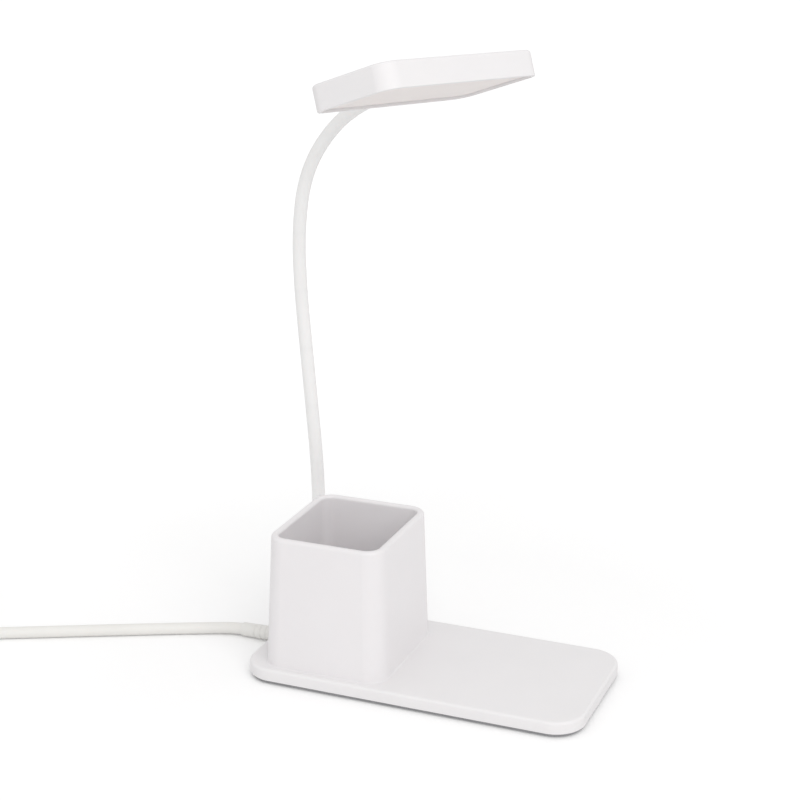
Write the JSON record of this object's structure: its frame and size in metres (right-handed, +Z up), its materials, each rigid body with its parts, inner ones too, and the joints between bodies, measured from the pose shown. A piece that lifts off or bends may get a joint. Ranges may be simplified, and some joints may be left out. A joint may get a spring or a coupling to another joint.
{
  "type": "desk lamp with pen cup and phone charging base",
  "caption": "Desk lamp with a flat rectangular head on a bendable neck, rising from a thin plate that carries a square pen cup and a phone charging area.",
  "frame": {"origin": "centre of the plate's footprint, on the table that the rubber pad stands on", "axes": "+X to the right along the plate, +Y to its back edge, +Z up"},
  "size_m": [0.4233, 0.1348, 0.2999],
  "materials": {
    "white_shell": "satin moulded white plastic",
    "white_tray": "fine matt white plastic",
    "white_trim": "smooth white plastic",
    "white_sleeve": "smooth satin white silicone sleeve",
    "white_cord": "satin white cord jacket",
    "grey_rubber": "fine matt rubber",
    "frosted_diffuser": "frosted translucent plastic, unlit",
    "screw_steel": "zinc plated",
    "zinc_steel": "zinc plated",
    "nut_brass": "plain turned",
    "anchor_alloy": "as cast",
    "core_alloy": "drawn rod",
    "copper_wire": "enamelled copper",
    "ferrite": "dark matt sheet",
    "green_board": "solder mask",
    "white_board": "white solder mask and sheet",
    "black_parts": "moulded chip packages",
    "yellow_lamps": "phosphor domes",
    "black_strap": "woven hook and loop strap"
  },
  "bodies": {
    "base": {"base_cover": "white_shell", "base_tray": "white_tray", "base_pad": "grey_rubber", "tray_screws": "screw_steel", "ballast_plate": "zinc_steel", "pen_cup": "white_shell", "cup_screws": "screw_steel", "charging_coil": "copper_wire", "ferrite_sheet": "ferrite", "main_board": "green_board", "board_parts": "black_parts", "touch_electrode": "copper_wire", "touch_board": "green_board", "neck_stem": "zinc_steel", "neck_nut": "nut_brass", "neck_collar": "white_trim", "neck_sleeve_0": "white_sleeve", "neck_core_0": "core_alloy", "cord_boot": "white_cord", "power_cord": "white_cord", "cord_coil": "white_cord", "cord_tail": "white_cord", "cord_tie": "black_strap", "plug_grip": "white_trim", "plug_shell": "zinc_steel", "plug_tongue": "white_board"},
    "neck_1": {"neck_sleeve_1": "white_sleeve", "neck_core_1": "core_alloy"},
    "neck_2": {"neck_sleeve_2": "white_sleeve", "neck_core_2": "core_alloy"},
    "neck_3": {"neck_sleeve_3": "white_sleeve", "neck_core_3": "core_alloy"},
    "neck_4": {"neck_sleeve_4": "white_sleeve", "neck_core_4": "core_alloy"},
    "neck_5": {"neck_sleeve_5": "white_sleeve", "neck_core_5": "core_alloy"},
    "neck_6": {"neck_sleeve_6": "white_sleeve", "neck_core_6": "core_alloy"},
    "neck_7": {"neck_sleeve_7": "white_sleeve", "neck_core_7": "core_alloy"},
    "head": {"neck_sleeve_8": "white_sleeve", "neck_core_8": "core_alloy", "head_collar": "white_trim", "head_shell": "white_shell", "head_anchor": "anchor_alloy", "led_board": "white_board", "leds": "yellow_lamps", "reflector_sheet": "white_board", "led_screws": "screw_steel", "diffuser": "frosted_diffuser"}
  },
  "joints": [
    {"name": "neck_lean", "type": "hinge", "parent": "base", "child": "neck_1", "pos_m": [-0.07438, 0.03103, 0.07453], "axis": [0.4226, 0.9063, 0], "range_deg": [-25, 25]},
    {"name": "neck_sway", "type": "hinge", "parent": "neck_1", "child": "neck_2", "pos_m": [-0.07644, 0.03199, 0.10343], "axis": [0.8996, -0.4195, 0.1219], "range_deg": [-20, 20]},
    {"name": "neck_lean_2", "type": "hinge", "parent": "neck_2", "child": "neck_3", "pos_m": [-0.07964, 0.03349, 0.13221], "axis": [0.4226, 0.9063, 0], "range_deg": [-25, 25]},
    {"name": "neck_sway_2", "type": "hinge", "parent": "neck_3", "child": "neck_4", "pos_m": [-0.08284, 0.03498, 0.161], "axis": [0.8996, -0.4195, 0.1219], "range_deg": [-20, 20]},
    {"name": "neck_arch", "type": "hinge", "parent": "neck_4", "child": "neck_5", "pos_m": [-0.0849, 0.03594, 0.1899], "axis": [0.4226, 0.9063, 0], "range_deg": [-35, 28]},
    {"name": "neck_turn", "type": "hinge", "parent": "neck_5", "child": "neck_6", "pos_m": [-0.08285, 0.03498, 0.21875], "axis": [0.8897, -0.4149, -0.1908], "range_deg": [-25, 25]},
    {"name": "neck_arch_2", "type": "hinge", "parent": "neck_6", "child": "neck_7", "pos_m": [-0.07205, 0.02995, 0.24489], "axis": [0.4226, 0.9063, 0], "range_deg": [-35, 28]},
    {"name": "neck_turn_2", "type": "hinge", "parent": "neck_7", "child": "head", "pos_m": [-0.05291, 0.02102, 0.26459], "axis": [0.5068, -0.2363, -0.829], "range_deg": [-25, 25]}
  ],
  "couplings": [
    {"joint": "neck_lean_2", "follows": "neck_lean", "ratio": 1},
    {"joint": "neck_sway_2", "follows": "neck_sway", "ratio": 1},
    {"joint": "neck_arch_2", "follows": "neck_arch", "ratio": 1},
    {"joint": "neck_turn_2", "follows": "neck_turn", "ratio": 1}
  ]
}
